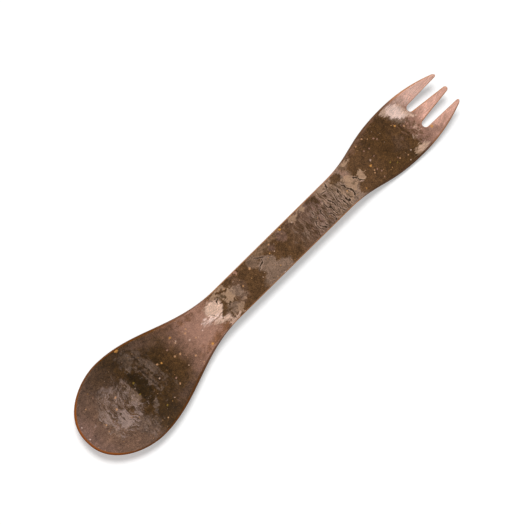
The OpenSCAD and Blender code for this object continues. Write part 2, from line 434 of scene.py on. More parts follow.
def outer_side(x):
    """Where the left tine's inner side is at x."""
    if x < slot_arc_x:
        return slot_root_y + slot_r * root_open(x)
    return middle_side(x) + mix(slot_root_w, slot_mouth_w,
                                (x - slot_arc_x) / (end_x - slot_arc_x))


def tine_fillet(low, high):
    return min(tine_round, fillet_share * (high - low))


def tine_ring(x, low, high, low_fade, high_fade):
    """A ring of a tine whose sides are at low and high, and which narrows to the round end."""
    ahead = max(0.0, x - end_arc_x) / tine_end_r
    narrow = math.sqrt(1 - ahead ** 2)
    middle, half = (low + high) / 2, narrow * (high - low) / 2
    shares = even_shares(tine_across)
    radius = tine_fillet(low, high)
    right = fork_edge(x, middle - half, (ahead * low_fade, -narrow * low_fade), radius)
    left = fork_edge(x, middle + half, (ahead * high_fade, narrow * high_fade), radius)
    return ring(Fork, right, left, shares, shares)


def tine_tip(low, high):
    return fork_edge(end_x, (low + high) / 2, (1, 0), tine_fillet(low, high))


def tine_places():
    """Places of the rings of a tine, closer together round the slot's root and the end."""
    turns = spread(0, math.pi / 2, turn_step)[:-1]
    root = [mix(slot_x, slot_arc_x, 1 - math.cos(w)) for w in turns]
    end = [mix(end_arc_x, end_x, math.sin(w)) for w in turns]
    return root + spread(slot_arc_x, end_arc_x, step)[:-1] + end


def make_tine(name, side):
    """A tine: side is 1 for the left one, -1 for the right one and 0 for the middle one."""
    if side == 0:
        rings = [tine_ring(x, -middle_side(x), middle_side(x), root_open(x), root_open(x))
                 for x in tine_places()]
        return loft(name, rings, tine_across, tine_tip(-middle_end_w / 2, middle_end_w / 2))
    rings = [tine_ring(x, outer_side(x), Fork.half(x), root_open(x), 1) for x in tine_places()]
    piece = loft(name, rings, tine_across, tine_tip(outer_side(end_x), Fork.half(end_x)))
    if side < 0:
        piece.data.transform(Matrix.Scale(-1, 4, Vector((0, 1, 0))))
        piece.data.flip_normals()
    return piece


# Colours, as they look on a screen

def colour(red, green, blue):
    """A colour given in screen values from 0 to 255, with full alpha."""
    def linear(v):
        v = v / 255
        return v / 12.92 if v <= 0.04045 else ((v + 0.055) / 1.055) ** 2.4
    return (linear(red), linear(green), linear(blue), 1.0)


TONES = {
    "crack": colour(44, 29, 14),
    "deep": colour(48, 33, 14),
    "bark": colour(70, 48, 24),
    "earth": colour(84, 58, 32),
    "umber": colour(95, 67, 42),
    "rust": colour(122, 80, 50),
    "seam": colour(116, 66, 22),
    "dusk": colour(100, 76, 61),
    "film": colour(114, 86, 69),
    "mauve": colour(128, 98, 86),
    "cocoa": colour(134, 99, 81),
    "rose": colour(168, 126, 107),
    "grey": colour(128, 108, 96),
    "frost": colour(154, 131, 121),
    "taupe": colour(142, 116, 98),
    "tan": colour(172, 139, 112),
    "sand": colour(206, 154, 112),
    "cream": colour(222, 186, 164),
    "lilac": colour(242, 210, 196),
    "shell": colour(233, 180, 160),
    "amber": colour(216, 152, 78),
    "olive": colour(140, 112, 48),
    "resin": colour(152, 80, 12),
    "copper": colour(206, 142, 98),
    "rim": colour(178, 124, 82),
}

# How far the film runs on down an edge
film_drop = 3.2 * MM

# Broad tones along the upper face: place in mm, and tone. The pale pink of the neck and of the
# tines is partly the film's tone and partly painted sheen
GROUND = [
    (-85, "mauve"), (-76, "film"), (-69, "dusk"), (-60, "bark"), (-50, "bark"),
    # The rose stops on the neck are partly painted sheen
    (-44, "earth"), (-39, "cocoa"), (-33, "rose"), (-26, "rose"), (-20, "umber"),
    (10, "umber"), (18, "film"), (25, "mauve"), (33, "taupe"), (39, "taupe"),
    # The rose and shell stops on the tines are partly painted sheen
    (44, "umber"), (62, "umber"), (66, "mauve"), (70, "rose"), (74, "shell"), (85, "shell"),
]


# Shader graphs

class Graph:
    """Short calls for the shader nodes of one tree. An input is a value or a socket."""

    def __init__(self, tree):
        self.tree = tree

    def feed(self, made, inputs):
        for key, value in inputs.items():
            if isinstance(value, bpy.types.NodeSocket):
                self.tree.links.new(value, made.inputs[key])
            else:
                made.inputs[key].default_value = value
        return made

    def add(self, kind, inputs=None, **settings):
        made = self.tree.nodes.new("ShaderNode" + kind)
        for key, value in settings.items():
            setattr(made, key, value)
        return self.feed(made, inputs or {})

    def math(self, operation, a, b=0.0):
        return self.add("Math", {0: a, 1: b}, operation=operation).outputs[0]

    def times(self, first, *others):
        for other in others:
            first = self.math("MULTIPLY", first, other)
        return first

    def vector(self, operation, a, b=(0, 0, 0)):
        return self.add("VectorMath", {0: a, 1: b}, operation=operation).outputs[0]

    def length(self, a):
        return self.add("VectorMath", {0: a}, operation="LENGTH").outputs["Value"]

    def parts(self, a):
        return self.add("SeparateXYZ", {0: a}).outputs

    def noise(self, place, scale, detail=3.0, roughness=0.55, output="Fac"):
        """Noise at a place in mm. The scale is in waves per mm, alike or along X and Y."""
        if isinstance(scale, tuple):
            place, scale = self.vector("MULTIPLY", place, (*scale, 1)), 1.0
        return self.add("TexNoise", {
            "Vector": place, "Scale": scale, "Detail": detail, "Roughness": roughness,
        }).outputs[output]

    def tear(self, place, scale, reach, detail=5.0, roughness=0.62):
        """Noise round 0 that moves an edge in or out. The reach is in mm."""
        wave = self.math("SUBTRACT", self.noise(place, scale, detail, roughness), 0.5)
        return self.times(wave, reach)

    def ramp(self, value, low, high, to_low=0.0, to_high=1.0, smooth=True):
        return self.add("MapRange", {
            "Value": value, "From Min": low, "From Max": high,
            "To Min": to_low, "To Max": to_high,
        }, interpolation_type="SMOOTHSTEP" if smooth else "LINEAR").outputs[0]

    def mix(self, amount, a, b, mode="MIX"):
        made = self.add("Mix", data_type="RGBA", blend_type=mode)
        return self.feed(made, {0: amount, 6: a, 7: b}).outputs[2]

    def shift(self, place, scale, reach, detail=3.0):
        """Moves a place by noise. The reach is in mm, alike or along X and Y."""
        reach = reach if isinstance(reach, tuple) else (reach, reach)
        wave = self.vector("SUBTRACT", self.noise(place, scale, detail, output="Color"),
                           (0.5, 0.5, 0.5))
        return self.vector("ADD", place, self.vector("MULTIPLY", wave, (*reach, 0)))


def patch_group():
    """Mask of one turned oval: 1 inside and 0 outside. The tear moves its edge, in mm."""
    tree = bpy.data.node_groups.new("patch_mask", "ShaderNodeTree")
    for name, kind in (("Place", "Vector"), ("Centre", "Vector"), ("Size", "Vector"),
                       ("Turn", "Float"), ("Soft", "Float"), ("Tear", "Float")):
        tree.interface.new_socket(name, in_out="INPUT", socket_type="NodeSocket" + kind)
    tree.interface.new_socket("Mask", in_out="OUTPUT", socket_type="NodeSocketFloat")
    graph = Graph(tree)
    given = tree.nodes.new("NodeGroupInput").outputs
    away = graph.vector("SUBTRACT", given["Place"], given["Centre"])
    turned = graph.add("VectorRotate", {"Vector": away, "Angle": given["Turn"]},
                       rotation_type="Z_AXIS").outputs[0]
    far = graph.length(graph.vector("DIVIDE", turned, given["Size"]))
    sizes = graph.parts(given["Size"])
    narrow = graph.math("MINIMUM", sizes[0], sizes[1])
    inward = graph.times(graph.math("SUBTRACT", 1.0, far), narrow)
    mask = graph.ramp(graph.math("ADD", inward, given["Tear"]),
                      graph.times(given["Soft"], -1.0), given["Soft"])
    tree.links.new(mask, tree.nodes.new("NodeGroupOutput").inputs["Mask"])
    return tree


# Patches of the film, and a few ovals of painted highlight marked below, by their places on the
# upper face: x, y, half length and half width in mm, turn in degrees, tone and strength
BROAD_PATCHES = [
    (-74, 11, 7, 3.6, 25, "dusk", 0.6), (-64, 12, 8, 4, -5, "bark", 0.6),
    (-72, -12, 7, 3, -20, "film", 0.5), (-58, -11, 5, 5, 0, "bark", 1.0),
    (-44, 10.5, 9, 1.6, -18, "dusk", 0.45), (-40, 9, 6, 1.2, -16, "rust", 0.45),
    (-44, -10.5, 9, 1.8, 18, "mauve", 0.3), (-26.5, 5.8, 5, 0.9, 0, "rust", 0.45),
    # The second oval here, along the middle of the neck, is a painted highlight
    (-27, -5.6, 6, 1.3, 8, "rust", 0.8), (-30, 0, 5, 2.6, 0, "rose", 0.6),
    (9.5, -0.5, 4, 5, 0, "earth", 0.4), (-8, -2, 3, 5, 0, "earth", 0.3),
    (74, -8.2, 6, 2.0, -10, "rose", 0.75), (71.6, -7.4, 2.8, 2.0, 0, "mauve", 0.45),
    # The first oval here, along the left tine, is a painted highlight
    (76, 7.0, 6, 1.8, -6, "lilac", 0.45), (-46, 9.2, 5, 2.0, -18, "film", 0.5),
]
TORN_PATCHES = [
    (-69.5, 0.5, 7.4, 8.2, 12, "grey", 0.2), (-70.7, -3.6, 2.6, 2.9, 0, "frost", 0.85),
    (-74.6, 0.5, 1.2, 3.4, -12, "grey", 0.5), (-63.2, 0.2, 1.6, 3.6, 0, "taupe", 0.5),
    (-68.2, 7.2, 2.4, 1.2, -32, "frost", 0.35), (-75.6, -5.4, 1.0, 2.2, 0, "grey", 0.4),
    (-65.2, -11.5, 3.4, 3.6, 0, "grey", 0.2), (-67.3, -8.6, 3.0, 2.2, 0, "grey", 0.25),
    (-66.5, -3.8, 0.8, 1.6, 0, "umber", 0.8), (-66.2, -0.8, 0.7, 0.9, 0, "umber", 0.7),
    (-62.9, -6.6, 2.6, 1.5, 8, "bark", 0.85), (-58.9, 1.2, 2.7, 5.4, 0, "deep", 0.95),
    (-59.3, -4.5, 2.0, 2.0, 0, "deep", 0.6), (-57.6, -11.3, 4.2, 4.4, -20, "bark", 0.8),
    (-57.8, -10.6, 3.4, 3.0, -20, "deep", 0.4), (-52.5, -5, 2.6, 3.2, 0, "bark", 0.5),
    (-58.2, 7.9, 1.2, 1.0, 0, "grey", 0.5), (-59.6, -7.2, 2.2, 0.9, 50, "grey", 0.5),
    (-52.6, 5.5, 3.2, 8.0, 6, "bark", 0.2), (-55.9, 1.0, 0.6, 5.0, 3, "grey", 0.5),
    (-54.3, 2.5, 0.6, 5.6, 3, "grey", 0.4), (-52.2, 4.5, 1.1, 6.4, 4, "grey", 0.4),
    (-53.4, 2.5, 3.2, 8.0, 4, "film", 0.15),
    (-56.3, 10.5, 2.6, 2.2, -20, "grey", 0.25), (-47.3, 5.5, 2.4, 2.6, 0, "bark", 0.5),
    (-51.2, -9, 2.2, 2.2, 0, "film", 0.15), (-50.8, 12.2, 3.0, 1.6, -20, "film", 0.5),
    (-11.2, 1.5, 1.8, 4, 0, "film", 0.5),
]
CALM_PATCHES = [
    (-2.8, 4.2, 2.0, 2.6, 10, "taupe", 0.5), (1.4, 4.6, 2.9, 1.4, -8, "tan", 0.15),
    (0.7, 0.0, 3.2, 2.7, 0, "taupe", 0.75), (1.6, -4.8, 6.0, 3.3, 0, "taupe", 0.75),
    (0.8, 2.0, 1.2, 1.0, 0, "taupe", 0.6), (5.2, 2.9, 1.0, 1.2, 0, "mauve", 0.5),
    (10.2, 3.4, 1.8, 2.0, 30, "mauve", 0.5), (-17.8, -2.8, 3.0, 2.0, 0, "taupe", 0.7),
    (-13.6, -2.0, 1.8, 2.0, 0, "film", 0.6),
]
FEATHERED_PATCHES = [
    (-23.2, 1.7, 3.3, 2.9, -15, "cream", 0.95), (-23.2, -2.6, 2.9, 1.3, -26, "cream", 0.9),
    (-25.9, 0.0, 2.3, 0.75, -24, "lilac", 0.95), (-27.8, -0.3, 1.4, 0.4, 0, "lilac", 0.5),
    (67.7, -1.8, 2.0, 5.2, 8, "rose", 0.5), (65.0, 8.5, 2.1, 1.7, -16, "cream", 0.8),
    (66.2, 4.4, 1.8, 3.6, 26, "taupe", 0.8), (66.8, 6.6, 2.2, 3.1, 26, "lilac", 0.9),
    (68.6, 4.0, 1.4, 2.4, 26, "cream", 0.95), (67.4, 5.6, 1.5, 3.0, 26, "lilac", 1.0),
    (64.8, -9.0, 2.6, 1.7, 0, "tan", 0.85), (65.8, -8.8, 2.2, 1.3, 0, "cream", 0.5),
]
PLATES_AND_HIGHLIGHT = [
    (-20.2, 4.6, 1.6, 1.0, 10, "tan", 0.8), (-19.2, 3.0, 0.9, 0.8, 30, "tan", 0.7),
    (-16.4, 1.5, 2.7, 2.4, 20, "tan", 0.9), (-18.0, -3.2, 1.0, 0.8, 0, "tan", 0.5),
    (-13.3, 1.2, 1.8, 2.2, 0, "taupe", 0.7), (-12.8, -1.4, 1.5, 1.5, 0, "taupe", 0.4),
    (-15.6, -3.8, 2.6, 1.0, 20, "tan", 0.5), (-19.8, -5.8, 2.3, 0.9, 0, "cream", 0.7),
    # The second oval here is not a flake: it is a painted highlight along the upper edge
    (-16.6, 5.4, 1.8, 0.8, 0, "tan", 0.7), (-10.4, 6.2, 1.8, 0.4, 0, "rose", 0.8),
    (4.0, 5.4, 8.0, 1.3, 0, "tan", 0.24), (17.0, 5.4, 1.6, 1.3, 0, "tan", 0.7),
    (21.2, 5.6, 1.6, 0.9, 0, "tan", 0.8), (31.5, 5.0, 3.4, 1.4, 0, "tan", 0.35),
    (34.6, 1.0, 1.3, 3.0, 0, "tan", 0.4), (36.4, -2.6, 1.2, 1.9, 0, "tan", 0.85),
    (39.6, -0.3, 2.0, 2.9, 8, "tan", 0.9), (38.7, 2.0, 2.0, 0.9, 0, "tan", 0.7),
    (43.7, -1.0, 1.9, 1.5, -20, "tan", 0.9), (42.4, 5.9, 1.5, 0.9, 5, "tan", 0.9),
    (40.1, 3.7, 0.9, 1.5, 0, "rose", 0.35), (38.6, -5.6, 1.6, 0.8, 0, "taupe", 0.6),
    (70.2, 1.0, 0.7, 0.6, 0, "cream", 0.8), (69.7, 4.6, 0.7, 3.2, 14, "cream", 0.5),
    (66.3, -4.8, 1.1, 0.8, 0, "cream", 0.5),
    (68.6, -2.6, 0.6, 1.6, -10, "cream", 0.45), (67.2, 0.9, 0.9, 0.9, 0, "rose", 0.6),
]
DARK_GAPS = [
    (-20.2, -0.3, 3.2, 0.6, 41, "umber", 0.85), (-21.3, -1.5, 1.2, 0.6, 20, "umber", 0.9),
    (-17.9, 2.6, 0.5, 1.4, 20, "bark", 0.7), (-55.1, 1.5, 0.3, 5.0, 4, "deep", 0.7),
    (-53.4, 3.0, 0.3, 6.0, 5, "deep", 0.7), (-49.0, 1.0, 1.0, 4.5, 4, "deep", 0.4),
    (25.2, 5.4, 2.2, 0.8, 0, "umber", 0.8),
    (-19.0, -2.2, 1.2, 0.5, -8, "umber", 0.7), (-19.6, -3.6, 0.4, 1.4, -10, "bark", 0.8),
    (-19.0, 3.2, 0.8, 0.8, 0, "bark", 0.5), (-14.2, 5.4, 0.9, 0.9, 0, "umber", 0.8),
    (26.8, 3.9, 0.9, 1.9, 0, "bark", 0.8), (42.2, -4.6, 2.2, 1.8, 10, "umber", 0.9),
    (36.6, 4.3, 2.3, 1.5, 0, "earth", 0.9), (40.6, 5.2, 0.9, 1.2, 0, "umber", 0.5),
    (41.9, 3.4, 0.8, 1.4, 20, "umber", 0.5), (44.4, 3.4, 1.8, 2.4, 0, "umber", 0.9),
]
# The dark heart of the palm, whose edge is torn, and its lighter and darker places
PALM_HEART = (54.6, -0.4, 12.4, 17.5, 0, "earth", 1.0)
PALM_PATCHES = [
    (47, 0, 5, 9, 0, "umber", 0.8), (62.9, 0, 2.2, 8, 0, "umber", 0.6),
    (59.5, -5.5, 3, 4, 0, "bark", 0.4), (60.5, -2.4, 1.6, 2.6, 0, "dusk", 0.45),
    # This thin rose band along the palm's upper edge is a painted highlight
    (51, 8.9, 8, 0.5, 13, "rose", 0.45),
]

# Zones of fine upright wrinkles, and the flower of round ones in the bowl
WRINKLED = [
    (-63.6, 3, 2.6, 6, 0, "frost", 0.5),
    (24, -1.2, 10, 6.0, 0, "taupe", 0.8), (33, -1.0, 7, 7.0, 0, "tan", 0.75),
    (-65.5, -11.5, 3.6, 4, 0, "frost", 0.35), (67.6, -1.4, 2.3, 6, 8, "rose", 0.9),
]
FLOWER = (-69.4, -0.6, 7.6, 8.4, 12, "frost", 1.0)
FLOWER_HEART = (-58.0, -1.0, 0)
# The zone of tall bands in the bowl
BANDED = (-53.2, 4.0, 3.4, 8.5, 5, "grey", 0.5)
# Zones of the handle with hair cracks and with wider ones
HAIR_CRACKED = (26.5, -1.2, 12.0, 6.2, 0, "bark", 0.8)
CRACKED = (30.0, -1.4, 9.5, 6.0, 0, "crack", 0.65)
# The crumbled border between the palm's dark heart and the tines
CRUMBLED = (67.3, -2.2, 2.6, 5.0, 8, "umber", 0.8)

# Levels of the noise at which a ridge or a groove starts and is full, and their strengths
RIDGE_LEVELS = (0.51, 0.60)
RIDGE_STRENGTH = 0.8
GROOVE_LEVELS = (0.47, 0.39)
GROOVE_STRENGTH = 0.75
RIDGE_SOFT = 1.5

# Grain: pairs of scale (waves per mm, alike or along X and Y) and reach (share of the tone)
COARSE_GRAIN = [(0.3, 0.4), (0.9, 0.5)]
FINE_GRAIN = [(2.4, 0.65), (6.0, 0.85)]
STREAKS = [((0.4, 2.8), 0.35)]
# Tones between these levels of light lose grain, down to the shares left, and gain streaks
GRAIN_FADE = (0.03, 0.3)
COARSE_LEFT = 0.25
FINE_LEFT = 0.45
STREAK_RISE = (0.15, 0.4)

# Loose grids of specks: cells per mm, and the share of the cells that stay empty
SPECK_GRIDS = [(0.57, 0.5), (0.9, 0.6), (1.25, 0.68)]
SPECK_SIZE = 0.19
SPECK_STRENGTH = 0.8

# Where a zone of the bare resin starts and is full along the piece, in mm
TIP_ZONE = (-72.0, -82.0)
BOWL_ZONE = (-42.0, -58.0)
HANDLE_FROM = (-26.0, -20.0)
HANDLE_TO = (42.0, 36.0)
PALM_FROM = (42.0, 46.0)
PALM_TO = (71.0, 66.0)
TINE_ZONE = (66.0, 71.0)
# The same across the piece for the edges in the slots
SLOT_ZONE = (5.8, 5.5)

# Levels of the side attribute, which goes from 0 on the upper face to 1 on the lower one: where
# the lower film starts, where the resin starts when thin and how much sooner when wide, its soft
# start, its end, the lower half of the edge, and the start and end of the dull edge
LOWER_FILM = 0.72
RESIN_START = 0.30
RESIN_SOONER = 0.26
RESIN_SOFT = 0.08
RESIN_END = (0.94, 0.78)
LOWER_HALF = (0.46, 0.53)
DULL_START = (0.1, 0.4)
DULL_END = (0.94, 0.7)

# Half width of the pale lips of each dark crack, in mm
LIP_WIDTH = 0.55
# Dark cracks, upright before the turn: x, y, half length (mm), turn (degrees), half width (mm)
CRACKS = [
    (22.9, 1.0, 1.7, 2, 0.23), (21.8, -3.3, 2.5, -2, 0.19), (23.0, -4.3, 1.4, 18, 0.19),
    (25.3, -1.2, 2.3, -3, 0.23), (24.1, -4.6, 1.1, 8, 0.19), (27.6, -4.0, 2.0, 12, 0.24),
    (28.4, 0.4, 1.8, 6, 0.27), (29.0, -2.8, 2.4, 12, 0.27), (30.3, -0.8, 3.0, 6, 0.20),
    (31.5, -3.9, 2.3, 9, 0.20), (32.4, -0.6, 2.8, 2, 0.18), (33.5, -3.1, 2.3, 4, 0.27),
    (34.3, 0.6, 2.0, -4, 0.26), (34.9, -3.3, 2.5, 6, 0.22), (36.9, 0.6, 1.7, 14, 0.27),
    (38.0, -1.8, 1.4, 18, 0.28), (38.1, -3.6, 1.0, -16, 0.26), (41.6, -0.3, 1.6, 24, 0.32),
    (42.8, -2.1, 0.9, 55, 0.24), (31.2, 3.9, 1.7, 78, 0.17), (32.7, 4.9, 0.9, 6, 0.23),
    (-21.9, 4.2, 1.0, 14, 0.20), (-20.4, 3.0, 1.1, -20, 0.20), (-24.7, 0.4, 1.2, 43, 0.10),
    (0.0, 3.4, 2.1, 58, 0.26), (-1.1, 1.4, 2.2, -56, 0.24),
]

# Flecks that stand out: x, y, radius (mm) and tone
FLECKS = [
    (-56.4, 15.2, 0.78, "amber"), (-67.8, 3.9, 0.36, "sand"), (-82.7, 4.6, 0.20, "lilac"),
    (-83.4, -0.2, 0.22, "lilac"), (-76.4, -0.6, 0.26, "sand"), (-73.3, 9, 0.22, "rose"),
    (-77.5, 8, 0.22, "sand"), (-60.1, 3, 0.36, "olive"), (-61.2, -1.2, 0.28, "olive"),
    (-70.3, 0.7, 0.34, "sand"), (-49.9, 2, 0.34, "sand"), (-48.5, 1.2, 0.32, "amber"),
    (-57, -10.2, 0.32, "olive"), (-43.7, -0.3, 0.34, "sand"), (-40.5, 5.4, 0.36, "amber"),
    (-41.8, -1, 0.36, "sand"), (-36.2, 0.1, 0.30, "cream"), (-34.2, -0.8, 0.24, "sand"),
    (-38.4, -5, 0.30, "sand"), (-31.5, -6.2, 0.44, "amber"), (-35.7, 2.8, 0.32, "sand"),
    (-34.6, 3.7, 0.30, "sand"), (-44.0, 3.0, 0.34, "rose"), (-48.4, -5.8, 0.32, "rose"),
    (-48.8, -8.0, 0.28, "sand"), (-39.9, 3.1, 0.2, "cream"), (-30.8, -0.6, 0.22, "lilac"),
    (-5, 3.1, 0.42, "sand"), (11.4, 5.4, 0.42, "amber"), (16, 4.2, 0.18, "cream"),
    (2.8, -6.4, 0.34, "lilac"), (5.2, 4.4, 0.24, "sand"), (48.4, -0.9, 0.36, "amber"),
    (49.7, 0.6, 0.30, "cream"),
    (49.3, 7.2, 0.26, "sand"), (52.5, 7.7, 0.26, "sand"), (52.1, 3.6, 0.26, "rose"),
    (55.6, 5.1, 0.34, "rose"), (57.4, -6, 0.28, "sand"), (54, -4.7, 0.28, "olive"),
    (61.9, -6.6, 0.26, "cream"), (65.9, 0.8, 0.32, "sand"), (72.4, -5.9, 0.46, "amber"),
    (74.7, -0.2, 0.26, "lilac"), (82.3, -6.3, 0.18, "lilac"), (63.7, 3, 0.34, "amber"),
    (71.3, 0.6, 0.30, "cream"), (54.0, 6.3, 0.2, "sand"), (56.3, 4.0, 0.24, "rose"),
    (50.3, 4.2, 0.2, "rose"), (51.6, 0.7, 0.2, "rose"), (48.3, -2.8, 0.24, "sand"),
    (49.3, -3.2, 0.22, "rose"), (47.8, -3.6, 0.2, "sand"), (50.0, -4.6, 0.2, "rose"),
    (55.7, -6.4, 0.28, "olive"), (49.2, -6.8, 0.2, "rose"), (57.1, -5.3, 0.2, "rose"),
    (60.1, -7.2, 0.22, "sand"), (59.6, -9.0, 0.2, "cream"),
]


def tone_of(patch):
    """The colour of a patch, whose last value but one is the name of its tone."""
    return TONES[patch[-2]]


def patch_mask(graph, group, place, patch, soft, tear):
    x, y, length, width, turn, _, strength = patch
    mask = graph.add("Group", {
        "Place": place, "Centre": (x, y, 0), "Size": (length, width, 1),
        "Turn": -math.radians(turn), "Soft": soft, "Tear": tear,
    }, node_tree=group).outputs["Mask"]
    return graph.times(mask, strength)


def lay_patches(graph, group, base, place, patches, soft, tear):
    """Lays ovals of colour over the base, one after another."""
    for patch in patches:
        mask = patch_mask(graph, group, place, patch, soft, tear)
        base = graph.mix(mask, base, tone_of(patch))
    return base


def lay_jointly(graph, group, base, place, patches, soft, tear):
    """Lays ovals of one tone over the base through one mask, which keeps the shader smaller."""
    joint = 0.0
    for patch in patches:
        joint = graph.math("MAXIMUM", joint, patch_mask(graph, group, place, patch, soft, tear))
    return graph.mix(joint, base, tone_of(patches[0]))


def film_place(graph):
    """Side, place in mm, and place on the film.

    The film runs on down the edges, and the one under the piece runs the other way along it.
    """
    side = graph.add("Attribute", attribute_name="side").outputs["Fac"]
    spot = graph.vector("MULTIPLY", graph.add("TexCoord").outputs["Object"],
                        (1 / MM, 1 / MM, 0))
    outward = graph.math("SIGN", graph.parts(spot)[1])
    below = graph.math("GREATER_THAN", side, LOWER_FILM)
    down = graph.times(side, graph.math("SUBTRACT", 1.0, below), film_drop / MM)
    wrapped = graph.vector("ADD", spot, graph.add("CombineXYZ", {
        1: graph.times(outward, down)}).outputs[0])
    turned = graph.add("CombineXYZ", {0: graph.ramp(below, 0.0, 1.0, 1.0, -1.0, smooth=False),
                                      1: 1.0}).outputs[0]
    return side, spot, graph.vector("MULTIPLY", wrapped, turned)


def ground_tone(graph, place):
    """Broad tones that run into each other along the piece."""
    along = graph.parts(graph.shift(place, 0.14, 9.0, 5.0))[0]
    first, last = GROUND[0][0], GROUND[-1][0]
    made = graph.add("ValToRGB", {0: graph.ramp(along, first, last, smooth=False)})
    made.color_ramp.interpolation = "EASE"
    stops = made.color_ramp.elements
    for x, _ in GROUND[1:-1]:
        stops.new((x - first) / (last - first))
    for stop, (_, tone) in zip(stops, GROUND):
        stop.color = TONES[tone]
    return made.outputs[0]


def lay_ridges(graph, group, base, place, patches, lines, tear):
    """Light ridges and dark grooves where the lines are high and low, patch by patch."""
    for patch in patches:
        mask = patch_mask(graph, group, place, patch, RIDGE_SOFT, tear)
        ridge = graph.times(graph.ramp(lines, *RIDGE_LEVELS), mask, RIDGE_STRENGTH)
        groove = graph.times(graph.ramp(lines, *GROOVE_LEVELS), mask, GROOVE_STRENGTH)
        base = graph.mix(ridge, base, tone_of(patch))
        base = graph.mix(groove, base, TONES["bark"])
    return base


def flower_lines(graph, place):
    """Noise in rings and rays round the flower's heart."""
    away = graph.vector("SUBTRACT", graph.shift(place, 0.3, 4.0), FLOWER_HEART)
    parts = graph.parts(away)
    angle = graph.math("ARCTAN2", parts[1], parts[0])
    polar = graph.add("CombineXYZ", {0: graph.length(away), 1: angle}).outputs[0]
    return graph.noise(polar, (1.9, 2.8), 3.0, 0.7)


def wrinkles(graph, group, base, place):
    """Fine upright ridges and grooves, the tall bands, and the round ones of the flower."""
    upright = graph.noise(graph.shift(place, 0.35, (2.0, 0.8)), (1.25, 0.24), 3.0, 0.65)
    rounds = flower_lines(graph, place)
    tear = graph.tear(place, 0.35, 16.0)
    base = lay_ridges(graph, group, base, place, WRINKLED, upright, tear)
    tall = graph.noise(graph.shift(place, 0.4, (2.0, 0.5)), (0.8, 0.1), 4.0, 0.6)
    base = lay_ridges(graph, group, base, place, [BANDED], tall, tear)
    return lay_ridges(graph, group, base, place, [FLOWER], rounds, tear)


def crack_net(graph, place, scale):
    """How far a place is from the borders of tall cells. The scale is in cells per mm."""
    return graph.add("TexVoronoi", {
        "Vector": graph.vector("MULTIPLY", place, (*scale, 1)), "Scale": 1.0,
    }, feature="DISTANCE_TO_EDGE", voronoi_dimensions="2D").outputs["Distance"]


def hair_cracks(graph, group, base, place, bent, tear):
    """Fine lines, in some places of their zone."""
    zone = graph.times(patch_mask(graph, group, place, HAIR_CRACKED, 2.0, tear),
                       graph.ramp(graph.noise(bent, (0.7, 0.25), 2.0), 0.38, 0.50))
    lines = graph.ramp(crack_net(graph, bent, (1.5, 0.26)), 0.22, 0.08)
    return graph.mix(graph.times(lines, zone), base, tone_of(HAIR_CRACKED))


def wide_cracks(graph, group, base, place, bent, tear):
    """Wider lines between pale lips, in some places of their zone."""
    net = crack_net(graph, bent, (0.8, 0.15))
    zone = graph.times(patch_mask(graph, group, place, CRACKED, 1.0, tear),
                       graph.ramp(graph.noise(place, (0.5, 0.2), 2.0), 0.42, 0.54))
    base = graph.mix(graph.times(graph.ramp(net, 0.40, 0.16), zone, 0.35), base, TONES["tan"])
    lines = graph.ramp(net, 0.13, 0.05)
    return graph.mix(graph.times(lines, zone), base, tone_of(CRACKED))


def crumbs(graph, group, base, place, bent, tear):
    """Dark crumbs along the border of the palm's heart."""
    zone = patch_mask(graph, group, place, CRUMBLED, 1.0, tear)
    dark = graph.ramp(graph.noise(bent, (1.1, 0.7), 4.0, 0.7), 0.52, 0.46)
    return graph.mix(graph.times(zone, dark), base, tone_of(CRUMBLED))


def marked_cracks(graph, group, base, place):
    """The listed cracks, each a dark line between pale lips."""
    warped = graph.shift(graph.shift(place, 0.4, (3.2, 1.0), 2.0), 1.6, 0.5, 2.0)
    fray = graph.tear(place, 1.5, 0.5)
    lips = [(x, y, LIP_WIDTH, length, turn, "cream", 0.3) for x, y, length, turn, _ in CRACKS]
    base = lay_jointly(graph, group, base, warped, lips, 0.2, fray)
    lines = [(x, y, width, length, turn, "crack", 0.95) for x, y, length, turn, width in CRACKS]
    return lay_jointly(graph, group, base, warped, lines, 0.08, fray)


def crack_lines(graph, group, base, place):
    """All that is dark and thin: hair cracks, wider cracks, crumbs and the listed cracks."""
    bent = graph.shift(graph.shift(place, 0.3, (2.6, 1.0), 2.0), 1.4, 0.4, 2.0)
    tear = graph.tear(place, 0.5, 9.0)
    for lay in (hair_cracks, wide_cracks, crumbs):
        base = lay(graph, group, base, place, bent, tear)
    return marked_cracks(graph, group, base, place)


def flecks(graph, group, base, place):
    """Small round dots that stand out, tone by tone."""
    tear = graph.tear(place, 2.0, 1.2)
    for tone in dict.fromkeys(fleck[-1] for fleck in FLECKS):
        dots = [(x, y, r, r, 0, tone, 0.85) for x, y, r, own in FLECKS if own == tone]
        base = lay_jointly(graph, group, base, place, dots, 0.12, tear)
    return base


def mottle(graph, base, place):
    """Light and dark grain at four sizes, and fine streaks along the pale tones."""
    light = graph.add("RGBToBW", {0: base}).outputs[0]
    coarse = graph.ramp(light, *GRAIN_FADE, 1.0, COARSE_LEFT)
    fine = graph.ramp(light, *GRAIN_FADE, 1.0, FINE_LEFT)
    streaked = graph.ramp(light, *STREAK_RISE)
    for grains, amount in ((COARSE_GRAIN, coarse), (FINE_GRAIN, fine), (STREAKS, streaked)):
        for scale, reach in grains:
            shade = graph.ramp(graph.noise(place, scale, 4.0, 0.6), 0.25, 0.75,
                               1 - reach, 1 + reach, smooth=False)
            grain = graph.add("CombineXYZ", {0: shade, 1: shade, 2: shade}).outputs[0]
            base = graph.mix(amount, base, grain, "MULTIPLY")
    return base


